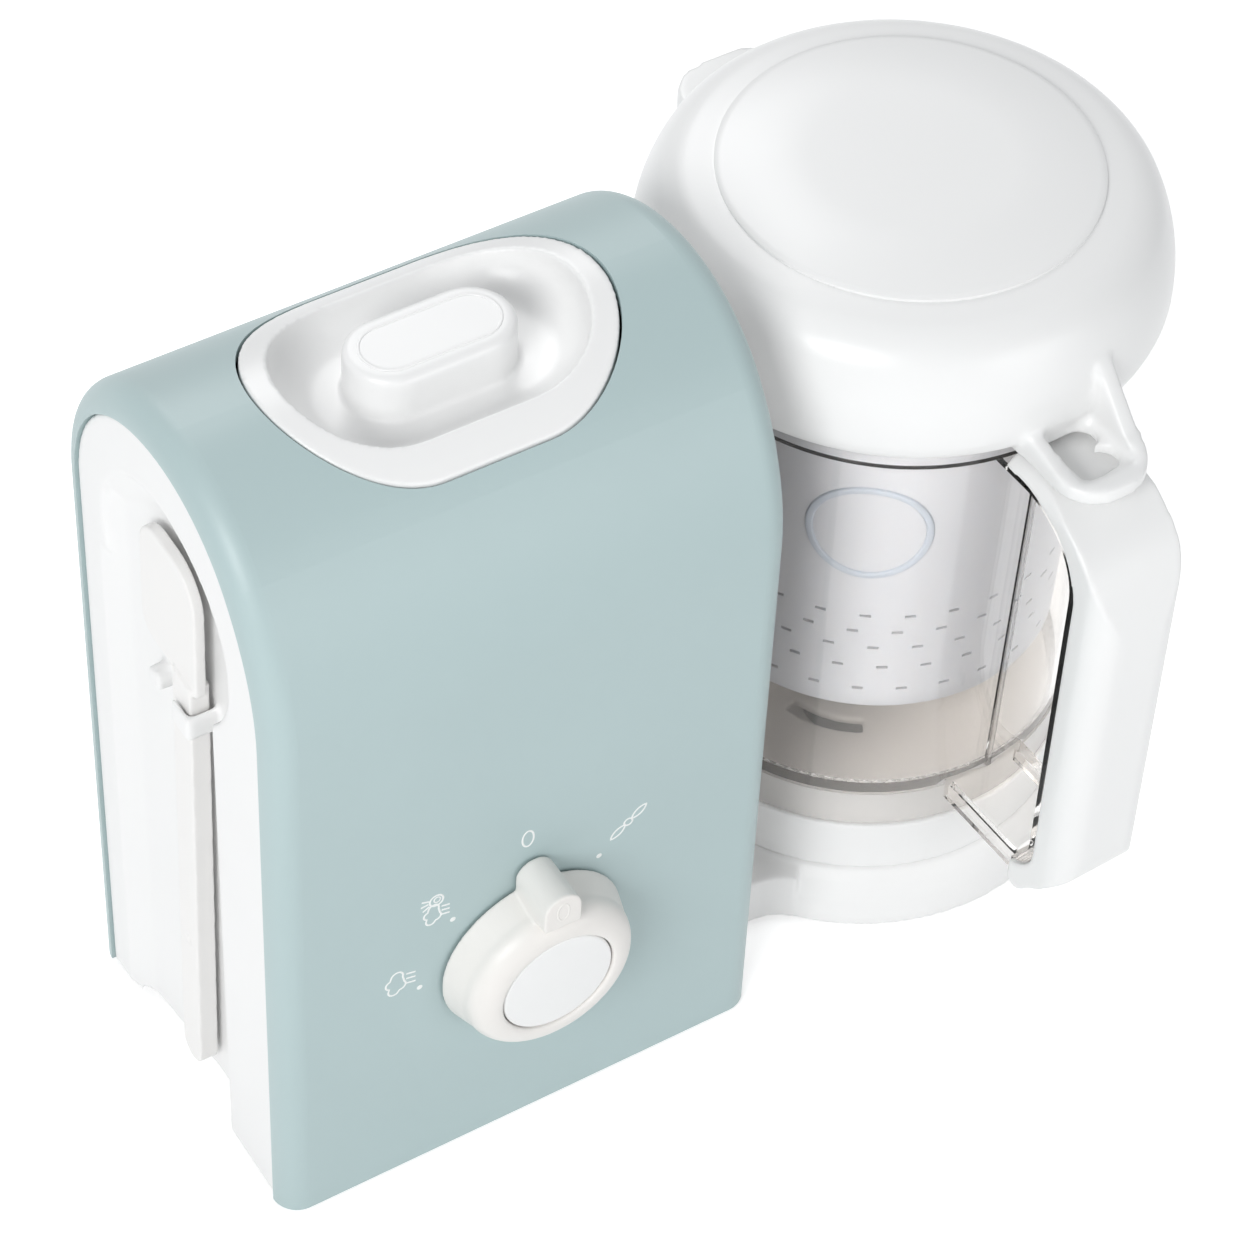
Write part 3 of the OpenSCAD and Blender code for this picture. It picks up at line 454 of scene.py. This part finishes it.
# ---------------------------------------------------------------------------
# Tank cap: a smooth white lid that follows the arch, with a soft basin round a
# raised grip. A shallow oval line runs round the grip's top.
# ---------------------------------------------------------------------------
def lying(x, y, z):
    """Lays a shape drawn in mm flat at a point of the part."""
    return Matrix.Translation((x, y, z)) @ Matrix.Scale(MM, 4)


def stadium(length, width, steps=14):
    """An oval of two half circles and two straight sides, about the origin."""
    half = (length - width) / 2
    return arc(half, 0, width / 2, -90, 90, steps) + arc(-half, 0, width / 2, 90, 270, steps)


smooth_white = moulded("smooth_white", WHITE, roughness=0.3, marks=0.08, shade=0.015)
softened("filler_cap", "tank_cap", 0.55, 6, smooth_white, "cap")
dress("cap_seal", milky)


def add_cap_line():
    """The oval line, half sunk in the grip's top."""
    length, width, half_line, rise, sunk = 35.5, 14.6, 0.4, 0.3, 0.3
    low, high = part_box("tank_cap")
    middle = (low + high) / 2
    shape = bmesh.new()
    stroke(shape, stadium(length, width), half_line, rise, closed=True)
    place = lying(middle.x, middle.y, high.z - sunk * MM)
    add_piece("cap_grip_line", shape, place, smooth_white, "cap")


add_cap_line()


# ---------------------------------------------------------------------------
# Control knob: a warm white turned moulding with a half-round pointer. The push
# button in its middle rests on a coil spring, and a switch is behind them.
# ---------------------------------------------------------------------------
warm_white = moulded("warm_white", (0.82, 0.795, 0.765), roughness=0.4, marks=0.08, shade=0.015)
softened("control_knob", "knob", 0.4, 6, warm_white, "knob")

WELD = 0.001


def spun(outline, steps, closed=True):
    """A shape of revolution about Z, from an outline of (radius, height) points in mm."""
    shape = bmesh.new()
    points = [shape.verts.new((r, 0.0, z)) for r, z in outline]
    ends = points[1:] + points[:1] if closed else points[1:]
    sides = [shape.edges.new(pair) for pair in zip(points, ends)]
    bmesh.ops.spin(shape, geom=points + sides, cent=(0, 0, 0), axis=(0, 0, 1),
                   angle=math.tau, steps=steps, use_merge=True)
    bmesh.ops.remove_doubles(shape, verts=shape.verts, dist=WELD)
    return shape


def add_button():
    """A shallow round button with a rolled edge."""
    depth, edge = 2.2, 0.8
    low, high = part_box("button")
    middle = (low + high) / 2
    radius = (high.x - low.x) / 2 / MM
    outline = [(0.0, -depth), (0.0, 0.0), (radius - edge, 0.0)]
    outline += arc(radius - edge, -edge, edge, 90, 0, 5)[1:] + [(radius, -depth)]
    shape = spun(outline, steps=96)
    bmesh.ops.dissolve_degenerate(shape, dist=WELD, edges=shape.edges)
    place = upright(middle.x, low.y, middle.z)
    gloss = moulded("button_white", WHITE, roughness=0.2, marks=0.06, shade=0.01)
    piece = add_piece("push_button", shape, place, gloss, "button")
    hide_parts("button")


def add_pointer_mark():
    """An upright oval line on the pointer's end."""
    half_width, squash, below_top, line, rise = 1.6, 1.9, 5.5, 0.28, 0.12
    low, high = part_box("knob")
    middle = (low + high) / 2
    shape = bmesh.new()
    oval = arc(0, 0, half_width, 0, 360, 28, squash=squash)[:-1]
    stroke(shape, oval, line, rise, closed=True)
    place = upright(middle.x, low.y, high.z - below_top * MM)
    add_piece("pointer_mark", shape, place, warm_white, "knob")


add_button()
add_pointer_mark()
for name in ("knob_shaft", "button_spring"):
    dress(name, steel)
black = moulded("black_moulding", (0.03, 0.03, 0.032), roughness=0.45)
dress("switch_body", black)
dress("circuit_board", moulded("solder_mask", (0.02, 0.14, 0.06), roughness=0.3))
dress("power_inlet", black)


# ---------------------------------------------------------------------------
# Drive: an alloy motor turns a steel pulley, and a flat belt through the neck
# turns the drive pulley, shaft and coupling under the bowl in a bronze bush.
# ---------------------------------------------------------------------------
dress("motor", metal("motor_can", (0.5, 0.5, 0.51), 0.35))
dress("motor_pulley", steel)
dress("belt", moulded("belt_rubber", (0.02, 0.02, 0.02), roughness=0.65))
dress("drive_bearing", metal("bronze", (0.6, 0.42, 0.25), 0.4))
dress("drive_shaft", steel)
for name in ("drive_pulley", "drive_coupling"):
    dress(name, black)


# ---------------------------------------------------------------------------
# Base: a white cover that flares to the table, and on it a drum whose raised
# plate seats the bowl. Four screws hold the plate below, on soft rubber feet.
# ---------------------------------------------------------------------------
softened("bowl_base", "base_cover", 0.7, 6, satin_white, "housing")
softened("bowl_seat", "seat_ring", 0.6, 5, satin_white, "housing")
softened("bowl_seat_plate", "seat_plate", 0.6, 4, satin_white, "housing")
dress("base_plate", satin_white)
dress("base_screws", steel)
dress("feet", moulded("foot_rubber", (0.16, 0.16, 0.165), roughness=0.7))
dress("bowl_sensor", black)


# ---------------------------------------------------------------------------
# Bowl: clear copolyester, moulded in one with its rib, its thick skirt and the
# bracket that the white grip clips over and is screwed to. A seal and a nut close
# its floor, and a magnet tells the base that the bowl is in place.
# ---------------------------------------------------------------------------
def finish_bowl(wall_look, rib_painted_shade_look, skirt_look, floor_look):
    """The rib is tinted dark as painted shade for the dark line that the clear rib shows; the
    thick skirt is milky and the floor hazy.
    """
    mesh = nodes["bowl"].data
    mesh.materials.clear()
    for look in (wall_look, rib_painted_shade_look, skirt_look, floor_look):
        mesh.materials.append(look)
    foot_height, foot_radius, wall_height, flare = 45.0, 56.0, 128.0, 3.0
    rib_turn, half_rib, rib_reach, rib_low, rib_high = math.radians(3.0), 0.8, 2.0, 48.0, 170.0
    skirt_top, hub_radius, floor_radius, skirt_radius = 49.0, 12.0, 50.0, 57.0
    low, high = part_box("seat_ring")
    axis = (low + high) / 2
    handle = Vector((math.sin(rib_turn), -math.cos(rib_turn)))
    for face in mesh.polygons:
        flat = (face.center - axis).xy / MM
        height = (face.center.z - SHELL_LOW.z) / MM
        wall = foot_radius + flare * (height - foot_height) / wall_height
        on_rib = abs(flat.cross(handle)) < half_rib and rib_low < height < rib_high
        # Faces of the rib take the dark tint, which is painted shade.
        if on_rib and wall < flat.dot(handle) < wall + rib_reach:
            face.material_index = 1
        elif height < skirt_top and hub_radius < flat.length < skirt_radius:
            face.material_index = 2 if flat.length > floor_radius else 3


# The rib's dark grey tint is painted shade: the rib is clear like the wall, and the tint stands in
# for the dark line that light draws along it.
finish_bowl(clear("bowl_clear", (0.975, 0.958, 0.94), 0.03, ior=1.3),
            clear("bowl_rib_painted_shade", (0.56, 0.55, 0.54), 0.05, ior=1.3),
            clear("bowl_skirt", (0.80, 0.785, 0.77), 0.25, ior=1.3, through=0.45),
            clear("bowl_floor", (0.93, 0.915, 0.90), 0.08, ior=1.3, through=0.85))
softened("bowl_grip", "grip", 0.5, 10, smooth_white, "bowl")
for name in ("grip_screw", "bowl_magnet"):
    dress(name, steel)
dress("hub_nut", satin_white)
for name in ("shaft_seal", "lid_seal"):
    dress(name, milky)


# ---------------------------------------------------------------------------
# Lid: a deep smooth white cover with a tab over the grip and a hood over the
# spout. A plain disc, a hair proud, is set in the middle of its top.
# ---------------------------------------------------------------------------
softened("bowl_lid", "lid", 0.95, 5, smooth_white, "lid")


def add_lid_disc():
    """The disc follows the lid's flat middle and the start of its dome."""
    dome, flat, slope, proud, deep, lip, blunt = 105.0, 25.1, 77.5, 0.4, 1.2, 0.1, 0.12
    low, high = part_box("seat_ring")
    centre = (low + high) / 2
    place = lying(centre.x, centre.y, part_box("lid")[1].z)
    skin = [(r, z - dome + proud) for r, z in arc(flat, 0, dome, slope, 90, 12)]
    rim_r, rim_z = skin[0]
    edge = [(0.0, -deep), (rim_r + lip, rim_z - deep), (rim_r + lip, rim_z - blunt)]
    shape = spun(edge + skin + [(0.0, proud)], steps=128)
    add_piece("lid_disc", shape, place, smooth_white, "lid")


add_lid_disc()


# ---------------------------------------------------------------------------
# Steam basket: milky polypropylene, spun as one skin and thickened. Fine slots
# are left out of its lower wall and its floor, and a ring stands on its front.
# ---------------------------------------------------------------------------
def add_basket():
    """Rows of slots are keyed by their height, each with the column that its pattern starts at."""
    low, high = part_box("basket")
    centre = (low + high) / 2
    place = lying(centre.x, centre.y, low.z)
    foot, rim, top, wall, flange = 50.0, 52.4, (high.z - low.z) / MM, 1.8, 3.2
    sleeve, sleeve_top, floor_slots, plain_wall = 11.0, 30.0, (26.0, 34.0), [60.0, 80.0]
    rows, half_slot = {8.0: 0, 16.5: 2, 24.0: 1, 30.0: 3, 36.0: 0}, 0.5
    columns, every = 112, 4
    heights = sorted([z + side for z in rows for side in (-half_slot, half_slot)] + plain_wall)
    outline = [(sleeve, sleeve_top), (sleeve, 0.0)] + [(r, 0.0) for r in floor_slots]
    outline += [(foot - 2.0, 0.0), (foot - 0.6, 0.6), (foot, 2.0)]
    outline += [(foot + (rim - foot) * z / top, z) for z in heights]
    outline += [(rim, top), (rim + flange, top)]
    shape = spun(outline, columns, closed=False)
    open_faces = []
    for face in shape.faces:
        middle = face.calc_center_median()
        column = round(math.atan2(middle.y, middle.x) / math.tau * columns - 0.5) % columns
        for z, start in rows.items():
            if abs(middle.z - z) < 0.2 and column % every == start:
                open_faces.append(face)
        if 28.0 < middle.xy.length < 32.0 and middle.z < 0.1 and column % every == 0:
            open_faces.append(face)
    bmesh.ops.delete(shape, geom=open_faces, context="FACES")
    bmesh.ops.recalc_face_normals(shape, faces=shape.faces)
    if sum(f.normal.xy.dot(f.calc_center_median().xy) for f in shape.faces) < 0:
        bmesh.ops.reverse_faces(shape, faces=shape.faces)
    bmesh.ops.solidify(shape, geom=shape.faces, thickness=wall)
    milk = moulded("basket_milky", (0.58, 0.60, 0.64), roughness=0.45, marks=0.1, soft=0.3)
    piece = add_piece("steam_basket", shape, place, milk, "basket")
    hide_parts("basket")

    ring_radius, half_line, rise, ring_height, ring_turn = 15.4, 1.1, 0.7, 67.0, -90.0 - 38.5
    ring = bmesh.new()
    stroke(ring, arc(0, 0, ring_radius, 0, 360, 60)[:-1], half_line, rise, closed=True)
    for vert in ring.verts:
        turn = math.radians(ring_turn) + vert.co.x / rim
        height = ring_height + vert.co.y
        reach = foot + (rim - foot) * height / top + vert.co.z
        vert.co = (reach * math.cos(turn), reach * math.sin(turn), height)
    # The ring is the basket's own plastic. It is coloured darker and bluer than the basket as
    # painted shade, for the bluish shadow along the raised ring.
    ring_painted_shade_milk = moulded("ring_milky_painted_shade", (0.46, 0.51, 0.58), roughness=0.45, marks=0.1, soft=0.3)
    add_piece("basket_ring", ring, place, ring_painted_shade_milk, "basket")


add_basket()


# ---------------------------------------------------------------------------
# Blade: four wings stamped from stainless steel, held in a white moulded hub
# that slips over the end of the steel shaft.
# ---------------------------------------------------------------------------
for name in ("blade_shaft", "blade_steel"):
    dress(name, steel)
dress("blade_hub", satin_white)


# ---------------------------------------------------------------------------
# Spatula: one warm white moulding with a flat blade and a round-ended stick,
# kept in the left panel's recess under the hook.
# ---------------------------------------------------------------------------
pale = moulded("spatula_white", (0.85, 0.84, 0.825), roughness=0.42, marks=0.08, shade=0.015)
softened("food_spatula", "spatula", 0.4, 9, pale, "spatula")
